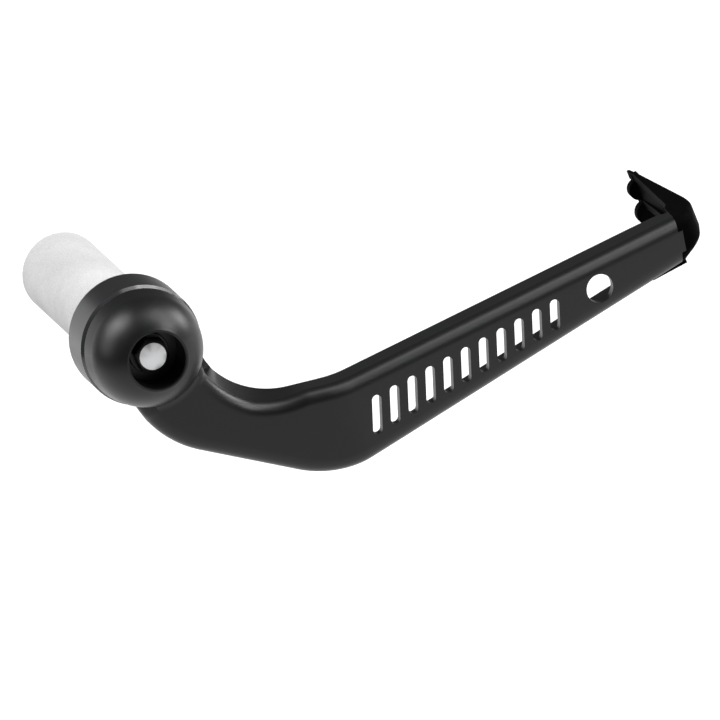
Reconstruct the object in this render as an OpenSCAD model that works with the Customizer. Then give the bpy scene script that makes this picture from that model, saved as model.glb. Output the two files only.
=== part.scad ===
// Brake lever guard for the right-hand end of a motorcycle handlebar.
// The bar axis is Y, with outboard at -Y, forward at +X and up at +Z.
// The origin is on the bar axis, in the plane of the bar's end face.

/* [Bar fixing] */
// Diameter of the plug that fills the bore of the bar
insert_d = 20; // [14:0.5:22]
// Length of the plug inside the bar
insert_len = 62; // [46:1:80]
// Edge radius at the inner end of the plug
insert_round = 2; // [0.5:0.25:4]
// Outer diameter of the spacer collar
spacer_d = 30; // [27:0.5:32]
// Thickness of the spacer collar
spacer_t = 12.5; // [8:0.5:20]
// Bevel on both edges of the spacer collar
spacer_bevel = 0.7; // [0.3:0.1:1.2]
// Depth of the collar's register that takes the neck of the plug
register_deep = 1.5; // [1:0.25:3]

/* [Clamp bolt] */
// Thread diameter of the bolt
bolt_d = 5; // [4:0.5:6]
// Length of the bolt under its head
bolt_len = 40; // [30:1:45]
// Width of the hexagon across its flats
bolt_af = 7.8; // [7:0.1:9]
// Height of the bolt head
bolt_head_h = 3.5; // [2.5:0.1:4.5]
// Diameter of the flat circle on top of the head
bolt_flat_d = 6.7; // [6:0.1:6.9]
// Turn of the hexagon about the bar axis
bolt_turn = -27; // [-60:1:60]
// Outer diameter of the washer
washer_d = 10; // [9.5:0.5:12]
// Thickness of the washer
washer_t = 1; // [0.6:0.1:1.6]

/* [Hub] */
// Diameter of the hub at its back edge
hub_d = 29.2; // [28:0.2:31]
// Length of the hub along the bar axis
hub_len = 15; // [13.5:0.1:17]
// Radius of the ball that rounds the hub
hub_ball_r = 14.1; // [13.6:0.1:15]
// Depth of the shadow groove between hub and collar
groove_w = 0.4; // [0.2:0.1:0.8]
// Diameter of the counterbore for the bolt head
bore_d = 14.2; // [13:0.2:15]
// Depth of the counterbore below the mouth
bore_deep = 9; // [7.5:0.1:10]
// Rounding of the counterbore's lip
lip_r = 0.55; // [0.3:0.05:0.8]

/* [Arm] */
// Distance of the arm's outer face from the back of the hub
face_out = 3; // [2:0.1:4]
// Depth of the top and bottom flanges
flange_deep = 9.3; // [7.5:0.1:11]
// Radius of the long outer edges
edge_r = 3.6; // [2.6:0.1:4.2]
// Thickness of the moulded walls
wall = 2.4; // [1.8:0.1:2.8]
// Drop of the blade's middle below the bar axis
arm_drop = 39.9; // [36:0.5:46]
// Forward place of the inner bend under the hub
knee_x = 17.9; // [16:0.1:20]
// Depth of the inner bend under the bar axis
knee_z = 24.5; // [22:0.1:26]
// Radius of the inner bend under the hub
knee_r = 22; // [14:0.5:24]
// Radius of both bends along the lower edge
belly_r = 27; // [18:0.5:30]
// Radius where the blade leaves the bent arm on top
neck_r = 45; // [20:1:60]

/* [Blade] */
// Distance from the bar axis to the end of the blade
blade_reach = 135.3; // [120:0.5:150]
// Height of the blade where the arm turns into it
blade_h = 21.1; // [19:0.1:23]
// Height of the blade at its end
blade_end_h = 11.2; // [10:0.1:14]
// Angle by which the blade leans inboard
blade_lean = 12.5; // [8:0.5:15]
// Forward place where the lean begins
lean_x = 37; // [34:0.5:42]
// Radius of the bend into the lean
lean_r = 30; // [20:1:50]

/* [Cut-outs] */
// Number of slanted slots along the blade
slot_n = 11; // [5:1:12]
// Width of a slot
slot_w = 2.5; // [1.6:0.1:3]
// Height of the first slot
slot_h = 9.6; // [7:0.1:10]
// Height lost from the first slot to the last
slot_taper = 2; // [0:0.1:3]
// Slant of the slots
slot_slant = 20; // [0:1:25]
// Diameter of the round hole after the slots
hole_d = 7; // [4:0.1:7.4]

/* [End tip] */
// Radius of the bend in the end tip
tip_r = 9; // [7:0.5:11]
// Length of the straight part of the hook
hook_len = 33.6; // [26:0.5:38]
// Angle by which the hook leans back
hook_lean = 7; // [4:0.1:10]
// Wall thickness of the end tip
tip_wall = 2.2; // [1.6:0.1:2.6]
// Gap in the joint between blade and tip
joint_gap = 0.15; // [0.1:0.05:0.25]
// Length of the plug that holds the tip in the blade
plug_len = 13; // [8:0.5:14]
// Height of the key in the joint
key_h = 5; // [4:0.1:5.4]
// Length of the key in the joint
key_out = 1.2; // [0.8:0.1:1.6]

/* [Hidden] */

moulding = "#2f3032";
tip_black = "#141415";
collar_black = "#303133";
plug_alloy = "#dedfe0";
bolt_alloy = "#c8c9ca";

$fn = 64;
eps = 0.01;
bolt_play = 0.25;
thread_play = 0.05;
thread_spare = 4;
fit = 0.2;

hub_r = hub_d / 2;
hub_back = spacer_t;
mouth = hub_back + hub_len;
bore_floor = mouth - bore_deep;
head_under = bore_floor + washer_t;
face_y = -(hub_back + face_out);

// Bent line through corners [x, y, radius], with an arc of arc_n steps at each inner corner.
arc_n = 12;
function unit(v) = v / norm(v);
function cross2(a, b) = a.x * b.y - a.y * b.x;
function flat(p) = [p.x, p.y];
function spin(v, a) = [v.x * cos(a) - v.y * sin(a), v.x * sin(a) + v.y * cos(a)];
function corner_arc(a, b, c) =
    let (d1 = unit(flat(b) - flat(a)), d2 = unit(flat(c) - flat(b)))
    let (turn = atan2(cross2(d1, d2), d1 * d2), r = b[2])
    let (start = flat(b) - d1 * r * tan(abs(turn) / 2))
    let (centre = start + sign(turn) * r * [-d1.y, d1.x])
    [for (k = [0:arc_n]) centre + spin(start - centre, turn * k / arc_n)];
function bent_line(v) = concat(
    [flat(v[0])],
    [for (i = [1:len(v) - 2]) each corner_arc(v[i - 1], v[i], v[i + 1])],
    [flat(v[len(v) - 1])]);

// Distances along a line, and the point at a given distance.
function runs(p) =
    let (last = len(p) - 1)
    [for (i = 0, s = 0; i <= last; s = s + norm(p[min(i + 1, last)] - p[i]), i = i + 1) s];
function span_at(c, s, i = 0) = i >= len(c) - 2 || c[i + 1] >= s ? i : span_at(c, s, i + 1);
function point_at(p, c, s) =
    let (i = span_at(c, s))
    p[i] + (p[i + 1] - p[i]) * (s - c[i]) / (c[i + 1] - c[i]);

// The top and bottom edges of the arm and blade, seen from outboard, as X and Z.
elbow_top_x = 42.3;
elbow_low_x = 32.1;
belly_x = -4.1;
belly_z = 24.6;
root_blend_r = 8;
blade_climb = 0.45;
over = 3;
blade_run = blade_reach - elbow_top_x;
top_slope = (blade_climb - (blade_h - blade_end_h) / 2) / blade_run;
low_slope = (blade_climb + (blade_h - blade_end_h) / 2) / blade_run;
function top_z(x) = -arm_drop + blade_h / 2 + top_slope * (x - elbow_top_x);
function low_z(x) = -arm_drop - blade_h / 2 + low_slope * (x - elbow_top_x);
function mid_z(x) = (top_z(x) + low_z(x)) / 2;
end_x = blade_reach + over;
hub_leave = hub_r * 0.98 * [cos(-17), sin(-17)];
hub_enter = hub_r * 0.91 * [cos(-124), sin(-124)];
root_top = hub_r * 1.025 * [cos(-34), sin(-34)];
top_corners = [
    hub_leave,
    [root_top.x, root_top.y, root_blend_r],
    [knee_x, -knee_z, knee_r],
    [elbow_top_x, top_z(elbow_top_x), neck_r],
    [end_x, top_z(end_x)]];
low_corners = [
    hub_enter,
    [belly_x, -belly_z, belly_r],
    [elbow_low_x, low_z(elbow_low_x), belly_r],
    [end_x, low_z(end_x)]];
top_line = bent_line(top_corners);
low_line = bent_line(low_corners);
top_runs = runs(top_line);
low_runs = runs(low_line);

// Stations pair the two edges over the arm, the elbow and the blade.
arm_steps = 26;
elbow_steps = 14;
blade_steps = 14;
arc_pts = arc_n + 1;
top_marks = [0, top_runs[2 * arc_pts], top_runs[3 * arc_pts], top_runs[len(top_runs) - 1]];
low_marks = [0, low_runs[arc_pts + 1], low_runs[2 * arc_pts], low_runs[len(low_runs) - 1]];
function stretch(marks, part, steps, from = 1) =
    [for (k = [from:steps]) marks[part] + (marks[part + 1] - marks[part]) * k / steps];
function all_stretches(marks) = concat(
    stretch(marks, 0, arm_steps, 0),
    stretch(marks, 1, elbow_steps),
    stretch(marks, 2, blade_steps));
top_at = all_stretches(top_marks);
low_at = all_stretches(low_marks);
stations = len(top_at);
top_pts = [for (s = top_at) point_at(top_line, top_runs, s)];
low_pts = [for (s = low_at) point_at(low_line, low_runs, s)];
function heading(p, i) = unit(p[min(i + 1, len(p) - 1)] - p[max(i - 1, 0)]);
function right_of(d) = [d.y, -d.x];
function left_of(d) = [-d.y, d.x];

// Outer face of the blade in plan: straight, one soft bend, then straight and leaning inboard.
lean_run = lean_r * sin(blade_lean);
function face_at(x) =
    x <= lean_x ? face_y
    : x < lean_x + lean_run ? face_y + lean_r - sqrt(pow(lean_r, 2) - pow(x - lean_x, 2))
    : face_y + lean_r * (1 - cos(blade_lean)) + (x - lean_x - lean_run) * tan(blade_lean);

// Depth of the flanges: low beside the collar, and cut back at the tip end to clear the hook.
flange_cut_x = 4;
flange_cut = 3.4;
flange_gap = 0.2;
flange_off = [wall + 0.4, wall + 4.4];
function ramp(v, from, to) = max(0, min(1, (v - from) / (to - from)));
function flange_at(p) =
    let (low = face_out - flange_gap, r = spacer_d / 2)
    let (full = flange_deep - flange_cut * ramp(p.x, blade_reach - flange_cut_x, blade_reach))
    low + (full - low) * ramp(norm(p), r + flange_off[0], r + flange_off[1]);
function edge_at(p) = min(edge_r, flange_at(p) - flange_gap);

// A ring goes round the open section: top flange, rounded edge, face, rounded edge, bottom
// flange, and back along the inside.
edge_steps = 6;
face_cells = 4;
function on_face(q, deep) = [q.x, face_at(q.x) + deep, q.y];
function flange_edge(q) = on_face(q, flange_at(q));
function rounded(q, n, r) = [for (k = [0:edge_steps])
    let (a = 90 * k / edge_steps)
    on_face(q + n * r * (1 - cos(a)), r * (1 - sin(a)))];
function reversed(v) = [for (i = [len(v) - 1:-1:0]) v[i]];
function between(a, b, deep) = [for (k = [1:face_cells - 1]) on_face(a + (b - a) * k / face_cells, deep)];
function section(i) =
    let (t = top_pts[i], b = low_pts[i], rt = edge_at(t), rb = edge_at(b))
    let (nt = right_of(heading(top_pts, i)), nb = left_of(heading(low_pts, i)))
    let (ti = t + nt * wall, bi = b + nb * wall)
    concat(
        [flange_edge(t)],
        rounded(t, nt, rt),
        between(t + nt * rt, b + nb * rb, 0),
        reversed(rounded(b, nb, rb)),
        [flange_edge(b)],
        [[bi.x, flange_edge(b).y, bi.y]],
        [on_face(bi, wall)],
        between(bi, ti, wall),
        [on_face(ti, wall)],
        [[ti.x, flange_edge(t).y, ti.y]]);

// Skin over a row of rings that all have the same number of points. Each point on a ring's
// outer side has a mate on its inner side, and the end caps are strips between the two.
module skin(rings, mates) {
    n = len(rings[0]);
    m = len(rings);
    sides = [for (j = [0:m - 2], i = [0:n - 1])
        let (a = j * n + i, b = j * n + (i + 1) % n)
        each [[a, b + n, b], [a, a + n, b + n]]];
    cap = [for (i = [0:len(mates) - 2], f = [[i, i + 1, mates[i]], [i + 1, mates[i + 1], mates[i]]])
        if (f[1] != f[2]) f];
    far_cap = [for (f = cap) [for (i = reversed(f)) (m - 1) * n + i]];
    polyhedron(points = [for (r = rings) each r], faces = concat(sides, cap, far_cap), convexity = 8);
}
arm_mates = [25, 24, 24, 24, 24, 24, 24, 24, 23, 22, 21, 20, 20, 20, 20, 20, 20, 20, 19];
tip_mates = [19, 18, 18, 18, 18, 18, 18, 18, 17, 17, 17, 17, 17, 17, 17, 16];

// Places children drawn on XY with Z up so that Z runs outboard from the bar's end.
module outboard(from = 0) {
    translate([0, -from, 0]) rotate([90, 0, 0]) children();
}

// Arm outline as a flat shape on X and Z, up to the elbow, drawn in by a distance.
module arm_outline(inset) {
    last = arm_steps + elbow_steps;
    polygon(concat(
        [for (i = [0:last]) top_pts[i] + right_of(heading(top_pts, i)) * inset],
        [for (i = [last:-1:0]) low_pts[i] + left_of(heading(low_pts, i)) * inset]));
}

// Hub: a ball on a slightly tapered skirt, with a raised seat for the collar.
skirt_end = 4.5;
ball_at = hub_back + 3.1;
module hub_profile() {
    skirt_r = sqrt(pow(hub_ball_r, 2) - pow(hub_back + skirt_end - ball_at, 2));
    seat_r = hub_r - 1;
    polygon([
        [0, hub_back], [seat_r, hub_back], [seat_r, hub_back + groove_w],
        [hub_r - 0.2, hub_back + groove_w], [hub_r, hub_back + groove_w + 0.2],
        [skirt_r, hub_back + skirt_end], [0, hub_back + skirt_end]]);
    intersection() {
        translate([0, ball_at]) circle(r = hub_ball_r, $fn = 80);
        translate([0, hub_back + skirt_end - eps]) square([hub_r, hub_len - skirt_end + eps]);
    }
}

// Counterbore with a rounded lip, and the clearance hole for the bolt.
module hub_bore() {
    lip_at = bore_d / 2 + lip_r;
    outboard() {
        translate([0, 0, hub_back - 1]) cylinder(d = bolt_d + 2 * bolt_play, h = hub_len);
        translate([0, 0, bore_floor]) cylinder(d = bore_d, h = bore_deep + 1);
        rotate_extrude() difference() {
            translate([bore_d / 2 - eps, mouth - lip_r]) square([lip_r + eps, 2 * lip_r]);
            translate([lip_at, mouth - lip_r]) circle(r = lip_r, $fn = 24);
        }
    }
}

// Soft hollow where the arm's face meets the hub.
root_fillet = 2.4;
module root_hollow() {
    inner = hub_r - 1.2;
    outer = hub_r - 0.5 + root_fillet;
    intersection() {
        outboard(-face_y - wall) linear_extrude(height = wall + root_fillet) arm_outline(edge_r);
        outboard(-face_y) rotate_extrude() difference() {
            translate([inner, -eps]) square([outer - inner, root_fillet]);
            translate([outer, root_fillet]) circle(r = root_fillet, $fn = 32);
        }
    }
}

// Cross ribs of the open channel.
rib_t = 1.8;
rib_low = 1.6;
arm_ribs = [15, 21, 27, 34];
blade_ribs = [blade_reach - 30.3, blade_reach - plug_len - 4.3];
module cross_rib(a, b) {
    along = unit(b - a);
    side = left_of(along) * rib_t / 2;
    lap = along * wall / 2;
    far = max(face_at(a.x), face_at(b.x));
    near = min(face_at(a.x), face_at(b.x));
    top = far + wall / 2;
    outboard(-(near + flange_deep - rib_low)) linear_extrude(height = near + flange_deep - rib_low - top)
        polygon([a + lap + side, b - lap + side, b - lap - side, a + lap - side]);
}
module ribs() {
    for (i = arm_ribs) cross_rib(top_pts[i], low_pts[i]);
    for (x = blade_ribs) cross_rib([x, top_z(x)], [x, low_z(x)]);
}

// Slots with round ends and one round hole, cut straight along the bar axis.
slot_from = elbow_top_x + 4.7;
slot_to = blade_reach - 37.3;
hole_x = blade_reach - 24.3;
slot_mid = 0.6;
module slot(h) {
    square([slot_w, h - slot_w], center = true);
    for (s = [-1, 1]) translate([0, s * (h - slot_w) / 2]) circle(d = slot_w, $fn = 32);
}
module cut_outs() {
    outboard(-50) linear_extrude(height = 100) {
        for (k = [0:slot_n - 1]) {
            f = k / (slot_n - 1);
            x = slot_from + (slot_to - slot_from) * f;
            translate([x, mid_z(x) - slot_mid]) rotate(-slot_slant) slot(slot_h - slot_taper * f);
        }
        translate([hole_x, mid_z(hole_x) - slot_mid / 2]) circle(d = hole_d, $fn = 64);
    }
}

// Joint line at the end of the blade, with one square key, as X and Z.
joint_slope = 0.2;
key_mid = 0.1;
function joint_x(z) = blade_reach + joint_slope * (z - top_z(blade_reach));
function joint_line(shift) =
    let (k0 = mid_z(blade_reach) - key_mid + key_h / 2, k1 = mid_z(blade_reach) - key_mid - key_h / 2)
    [for (q = [[joint_x(0), 0], [joint_x(k0), k0], [joint_x(k0) + key_out, k0],
        [joint_x(k1) + key_out, k1], [joint_x(k1), k1], [joint_x(-80), -80]])
        [q.x + shift, q.y + (q.y == k0 ? shift : q.y == k1 ? -shift : 0)]];
module past_joint(shift) {
    outboard(-80) linear_extrude(height = 120)
        polygon(concat(joint_line(shift), [[end_x + 60, -80], [end_x + 60, 0]]));
}

module guard_arm() {
    color(moulding) difference() {
        union() {
            outboard() rotate_extrude() hub_profile();
            skin([for (i = [0:stations - 1]) section(i)], arm_mates);
            root_hollow();
            ribs();
        }
        hub_bore();
        cut_outs();
        past_joint(0);
    }
}

// End tip in plan: an outer line that turns inboard in two bends, and a straight inner edge.
tip_start = blade_reach - 2;
tip_corner_x = blade_reach + 4.3;
tip_bulge = [6.4, 9.4];
tip_end_lean = 9;
tip_end_len = 4.8;
tip_edge_r = 0.6;
hook_dir = [-sin(hook_lean), cos(hook_lean)];
tip_corner = [tip_corner_x, face_at(tip_corner_x)];
tip_shoulder = [blade_reach, face_at(blade_reach)] + tip_bulge;
hook_end = tip_shoulder + hook_dir * hook_len;
tip_end = hook_end + tip_end_len * [-sin(tip_end_lean), cos(tip_end_lean)];
tip_outer = bent_line([
    [tip_start, face_at(tip_start)],
    [tip_corner.x, tip_corner.y, tip_r / 2],
    [tip_shoulder.x, tip_shoulder.y, tip_r],
    [hook_end.x, hook_end.y, 12],
    tip_end]);
inner_x = hook_end.x - 1.2;
inner_rise = 3.5;
inner_from = [blade_reach - 0.3, face_at(blade_reach) + flange_deep - flange_cut];
tip_runs = runs(tip_outer);
tip_steps = 44;
tip_total = tip_runs[len(tip_runs) - 1];
bend_share = 0.35;
function tip_outer_at(k) = point_at(tip_outer, tip_runs, tip_total * k / tip_steps);
function turned_at(o) = [min(inner_x, o.x - 1), max(inner_from.y + inner_rise, o.y)];
function tip_inner_at(k) =
    let (f = k / tip_steps, start = inner_from - 2 * [1, tan(blade_lean)])
    let (turned = turned_at(tip_outer_at(max(k, bend_share * tip_steps))))
    start + (turned - start) * min(1, f / bend_share);

// The tip's top stays level, and its lower edge climbs round the bend.
tip_climb = 0.5;
tip_top = top_z(blade_reach);
tip_low = low_z(blade_reach);
function tip_low_at(k) = tip_low + tip_climb * max(0, tip_outer_at(k).x - blade_reach + 1);
function tip_edge_at(k) = edge_r + (tip_edge_r - edge_r) * min(1, k / tip_steps / bend_share);
function tip_round(o, m, r, at, way) = [for (j = [0:edge_steps])
    let (a = 90 * j / edge_steps, q = o + m * r * (1 - sin(a)))
    [q.x, q.y, at + way * r * (1 - cos(a))]];
function tip_section(k) =
    let (o = tip_outer_at(k), i = tip_inner_at(k), low = tip_low_at(k))
    let (deep = norm(i - o), m = (i - o) / deep, r = min(tip_edge_at(k), deep * 0.8))
    let (a = o + m * min(tip_wall, deep * 0.7), hi = tip_top - tip_wall, lo = low + tip_wall)
    concat(
        [[i.x, i.y, tip_top]],
        tip_round(o, m, r, tip_top, -1),
        reversed(tip_round(o, m, r, low, 1)),
        [[i.x, i.y, low], [i.x, i.y, lo], [a.x, a.y, lo], [a.x, a.y, hi], [i.x, i.y, hi]]);

// Rounded lobes on the free end of the hook.
lobe_t = 2.5;
module end_lobes() {
    outboard(-tip_end.y) linear_extrude(height = lobe_t) {
        translate([tip_end.x - 0.2, tip_top - 5]) circle(r = 2.5, $fn = 40);
        translate([tip_end.x - 0.1, tip_low - 0.2]) circle(r = 3, $fn = 40);
        translate([tip_end.x - 0.8, tip_low]) square([1.9, tip_top - tip_low - 1]);
    }
}

// Plug inside the blade's channel, and the tongue under its bottom flange.
tongue_len = 10.5;
tongue_t = 0.8;
tongue_stop = 0.9;
module lean_slab(x0, x1, from, to) {
    translate([0, 0, -80]) linear_extrude(height = 80) polygon([
        [x0, face_at(x0) + from], [x1, face_at(x1) + from],
        [x1, face_at(x1) + to], [x0, face_at(x0) + to]]);
}
module side_slab(x0, x1, z00, z01, z10, z11) {
    outboard(-50) linear_extrude(height = 80) polygon([[x0, z00], [x1, z10], [x1, z11], [x0, z01]]);
}
module tip_plug() {
    x0 = blade_reach - plug_len;
    x1 = blade_reach + 1;
    gap = wall + fit;
    intersection() {
        lean_slab(x0, x1, gap, flange_deep - flange_cut - 0.3);
        side_slab(x0, x1, low_z(x0) + gap, top_z(x0) - gap, low_z(x1) + gap, top_z(x1) - gap);
    }
}
module tip_tongue() {
    x0 = blade_reach - tongue_len;
    x1 = blade_reach - tongue_stop;
    lug_x = joint_x(tip_low) + 2 * joint_gap;
    intersection() {
        lean_slab(x0, x1, edge_r * 0.8, flange_deep - flange_cut);
        union() {
            side_slab(x0, x1, low_z(x0) - tongue_t, low_z(x0), low_z(x1) - tongue_t, low_z(x1));
            side_slab(lug_x, x1, tip_low - tongue_t, tip_low + tongue_t, tip_low - tongue_t, tip_low + tongue_t);
        }
    }
}

module end_tip() {
    color(tip_black) union() {
        difference() {
            skin([for (k = [0:tip_steps]) tip_section(k)], tip_mates);
            short_of_joint();
        }
        end_lobes();
        tip_plug();
        tip_tongue();
    }
}

// What lies on the blade's side of the joint, with the joint's gap.
module short_of_joint() {
    outboard(-80) linear_extrude(height = 120)
        polygon(concat(joint_line(joint_gap), [[blade_reach - 30, -80], [blade_reach - 30, 0]]));
}

module spacer_collar() {
    bolt_r = bolt_d / 2 + bolt_play;
    register_r = insert_d / 2 + fit;
    r = spacer_d / 2;
    color(collar_black) outboard() rotate_extrude() polygon([
        [bolt_r, register_deep], [register_r, register_deep], [register_r, 0],
        [r - spacer_bevel, 0], [r, spacer_bevel],
        [r, spacer_t - spacer_bevel], [r - spacer_bevel, spacer_t], [bolt_r, spacer_t]]);
}

// Plug for the bar: a neck in the collar's register, a tapped hole for the bolt and a soft
// inner edge.
neck_in = 0.6;
hole_deep = bolt_len - head_under + thread_spare;
module bar_insert() {
    r = insert_d / 2;
    color(plug_alloy) outboard(-insert_len) difference() {
        rotate_extrude() {
            translate([0, insert_round]) square([r, insert_len - insert_round]);
            translate([0, insert_len - eps]) square([r - neck_in, register_deep + eps]);
            square([r - insert_round, insert_round + eps]);
            translate([r - insert_round, insert_round]) intersection() {
                circle(r = insert_round, $fn = 32);
                translate([0, -insert_round]) square(insert_round);
            }
        }
        translate([0, 0, insert_len - hole_deep])
            cylinder(d = bolt_d + 2 * thread_play, h = hole_deep + register_deep + 1);
    }
}

// Hexagon bolt whose corners are turned away to a flat circle.
turned_slope = tan(30);
bolt_tip_bevel = 0.6;
module clamp_bolt() {
    corner = bolt_af / cos(30) / 2;
    turned = bolt_af;
    shoulder = bolt_head_h - (turned - bolt_flat_d / 2) * turned_slope;
    color(bolt_alloy) outboard(head_under) {
        intersection() {
            rotate(bolt_turn) cylinder(r = corner, h = bolt_head_h, $fn = 6);
            rotate_extrude() polygon([
                [0, 0], [turned, 0], [turned, shoulder], [bolt_flat_d / 2, bolt_head_h], [0, bolt_head_h]]);
        }
        translate([0, 0, bolt_tip_bevel - bolt_len])
            cylinder(d = bolt_d, h = bolt_len - bolt_tip_bevel + bolt_head_h / 2);
        translate([0, 0, -bolt_len])
            cylinder(d1 = bolt_d - 2 * bolt_tip_bevel, d2 = bolt_d, h = bolt_tip_bevel);
    }
}

module bolt_washer() {
    color(collar_black) outboard(bore_floor) difference() {
        cylinder(d = washer_d, h = washer_t);
        translate([0, 0, -1]) cylinder(d = bolt_d + 2 * bolt_play, h = washer_t + 2);
    }
}

guard_arm();
end_tip();
spacer_collar();
bar_insert();
clamp_bolt();
bolt_washer();
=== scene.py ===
"""Looks of a motorcycle brake lever guard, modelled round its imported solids.

The frame is the row's own: metres, the bar axis along Y with inboard at +Y, forward at +X
and up at +Z. Sizes in this file are millimetres, as a drawing gives them, and MM turns them
into the frame's metres where a mesh is made.
"""
import logging
import math
from collections.abc import Callable
from dataclasses import dataclass, field
from enum import Enum

import bmesh
import bpy
from mathutils import Matrix, Vector

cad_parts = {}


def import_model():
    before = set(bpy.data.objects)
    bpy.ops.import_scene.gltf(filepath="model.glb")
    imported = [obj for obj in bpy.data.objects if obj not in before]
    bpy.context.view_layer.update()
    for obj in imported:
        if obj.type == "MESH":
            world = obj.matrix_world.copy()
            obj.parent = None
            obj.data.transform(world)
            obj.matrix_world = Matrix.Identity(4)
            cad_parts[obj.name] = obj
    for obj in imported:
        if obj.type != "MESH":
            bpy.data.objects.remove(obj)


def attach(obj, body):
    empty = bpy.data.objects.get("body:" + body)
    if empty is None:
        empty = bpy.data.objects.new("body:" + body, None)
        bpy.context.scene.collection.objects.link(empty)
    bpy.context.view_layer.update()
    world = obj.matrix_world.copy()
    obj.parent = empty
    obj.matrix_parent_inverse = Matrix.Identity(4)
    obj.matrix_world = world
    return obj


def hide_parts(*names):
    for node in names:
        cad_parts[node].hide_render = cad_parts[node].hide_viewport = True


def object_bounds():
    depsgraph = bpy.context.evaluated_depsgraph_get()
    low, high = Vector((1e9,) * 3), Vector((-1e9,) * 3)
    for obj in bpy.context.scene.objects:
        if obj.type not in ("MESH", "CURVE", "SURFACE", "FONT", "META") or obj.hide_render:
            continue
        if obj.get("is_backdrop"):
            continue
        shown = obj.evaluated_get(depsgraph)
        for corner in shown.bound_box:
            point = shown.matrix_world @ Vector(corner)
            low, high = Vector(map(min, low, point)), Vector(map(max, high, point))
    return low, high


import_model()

log = logging.getLogger("lever_guard")

MM = 0.001
BODY = "root"
WHITE = (1.0, 1.0, 1.0, 1.0)
# Points nearer to each other than this, in metres, become one.
WELD = 2e-6
# Edges sharper than this many degrees stay crisp.
CRISP = 32
# A height, or a distance along the bar, in mm and past every part of the guard either way.
BEYOND = 80.0
# How far solids run into each other, in mm, so that they join cleanly.
LAP = 0.01
# How far a tool reaches past what it works on, in mm.
PAST = 1.0
# Steps in a full turn, for small pieces and for the widest ones.
SMALL_TURN = 96
WIDE_TURN = 160

Pair = tuple[float, float]
Triple = tuple[float, float, float]
Ring = list[Vector]
Outline = list[Pair] | Ring
Piece = bpy.types.Object
Tree = bpy.types.NodeTree
Socket = bpy.types.NodeSocket


class Cut(Enum):
    """What a tool does to a piece."""

    REMOVE = "DIFFERENCE"
    JOIN = "UNION"
    KEEP_COMMON = "INTERSECT"


class Grain(Enum):
    """How a surface was made, which decides its fine pattern."""

    SPARKED_MOULD = "sparked mould"
    BEAD_BLAST = "bead blast"
    TURNED = "turned"
    GROUND = "ground"


# How many finer layers the noise of a surface has.
NOISE_DETAIL = {Grain.SPARKED_MOULD: 4.0, Grain.BEAD_BLAST: 6.0, Grain.GROUND: 8.0}


# Drawing geometry


def unit(v: Vector) -> Vector:
    """Returns v at length one."""
    return v / v.length


def right_of(d: Vector) -> Vector:
    """Returns d turned a quarter to the right."""
    return Vector((d.y, -d.x))


def left_of(d: Vector) -> Vector:
    """Returns d turned a quarter to the left."""
    return Vector((-d.y, d.x))


def share_of(value: float, start: float, stop: float) -> float:
    """Returns how far value lies from start to stop, kept between 0 and 1."""
    return max(0.0, min(1.0, (value - start) / (stop - start)))


def polar(radius: float, degrees: float) -> Vector:
    """Returns the flat point at a radius and an angle from the first axis."""
    a = math.radians(degrees)
    return Vector((radius * math.cos(a), radius * math.sin(a)))


def ngon(middle: Vector, radius: float, sides: int, start: float = 0.0) -> Ring:
    """Returns the corners of an even polygon, the first one at an angle in degrees."""
    return [middle + polar(radius, start + 360 * k / sides) for k in range(sides)]


def world(x: float, out: float, z: float) -> Vector:
    """Puts a drawing point in the frame.

    Args:
        x: forward, in mm.
        out: outboard from the bar's end face, in mm.
        z: up, in mm.

    Returns:
        The same point in metres.
    """
    return Vector((x, -out, z)) * MM


@dataclass
class BentLine:
    """A line through corners, each rounded by its own radius."""

    corners: list[Triple]
    arc_steps: int = 24
    points: list[Vector] = field(init=False)
    runs: list[float] = field(init=False)

    def __post_init__(self) -> None:
        """Works out the points along the line and their distances."""
        flat = [Vector(c[:2]) for c in self.corners]
        points = [flat[0]]
        for i in range(1, len(flat) - 1):
            points += self._arc(flat[i - 1], flat[i], flat[i + 1], self.corners[i][2])
        self.points = points + [flat[-1]]
        self.runs = [0.0]
        for a, b in zip(self.points, self.points[1:]):
            self.runs.append(self.runs[-1] + (b - a).length)

    def _arc(self, a: Vector, b: Vector, c: Vector, radius: float) -> list[Vector]:
        """Rounds one corner.

        Args:
            a: the corner before.
            b: the corner that is rounded.
            c: the corner after.
            radius: radius of the arc.

        Returns:
            Points along the arc.
        """
        d1, d2 = unit(b - a), unit(c - b)
        turn = math.atan2(d1.x * d2.y - d1.y * d2.x, d1.dot(d2))
        start = b - d1 * radius * math.tan(abs(turn) / 2)
        centre = start + left_of(d1) * math.copysign(radius, turn)
        arm = start - centre
        return [
            centre + Matrix.Rotation(turn * k / self.arc_steps, 2) @ arm
            for k in range(self.arc_steps + 1)
        ]

    @property
    def length(self) -> float:
        """Returns the whole length."""
        return self.runs[-1]

    def at(self, run: float) -> Vector:
        """Finds the point at a distance along the line.

        Args:
            run: the distance, in mm.

        Returns:
            The point.
        """
        for i in range(len(self.runs) - 2):
            if self.runs[i + 1] >= run:
                break
        else:
            i = len(self.runs) - 2
        share = (run - self.runs[i]) / (self.runs[i + 1] - self.runs[i])
        return self.points[i].lerp(self.points[i + 1], share)

    def after_arc(self, number: int) -> float:
        """Returns the distance to the end of an arc, counted from one."""
        return self.runs[number * (self.arc_steps + 1)]

    def before_arc(self, number: int) -> float:
        """Returns the distance to the start of an arc, counted from one."""
        return self.runs[(number - 1) * (self.arc_steps + 1) + 1]


def quarter(radius: float, steps: int) -> list[Pair]:
    """Gives a quarter round between two straight sides.

    Args:
        radius: radius of the round.
        steps: number of chords.

    Returns:
        Pairs of distance in from the first side and depth down from the second.
    """
    angles = [math.pi / 2 * k / steps for k in range(steps + 1)]
    return [(radius * (1 - math.cos(a)), radius * (1 - math.sin(a))) for a in angles]


# Bench work


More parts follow.
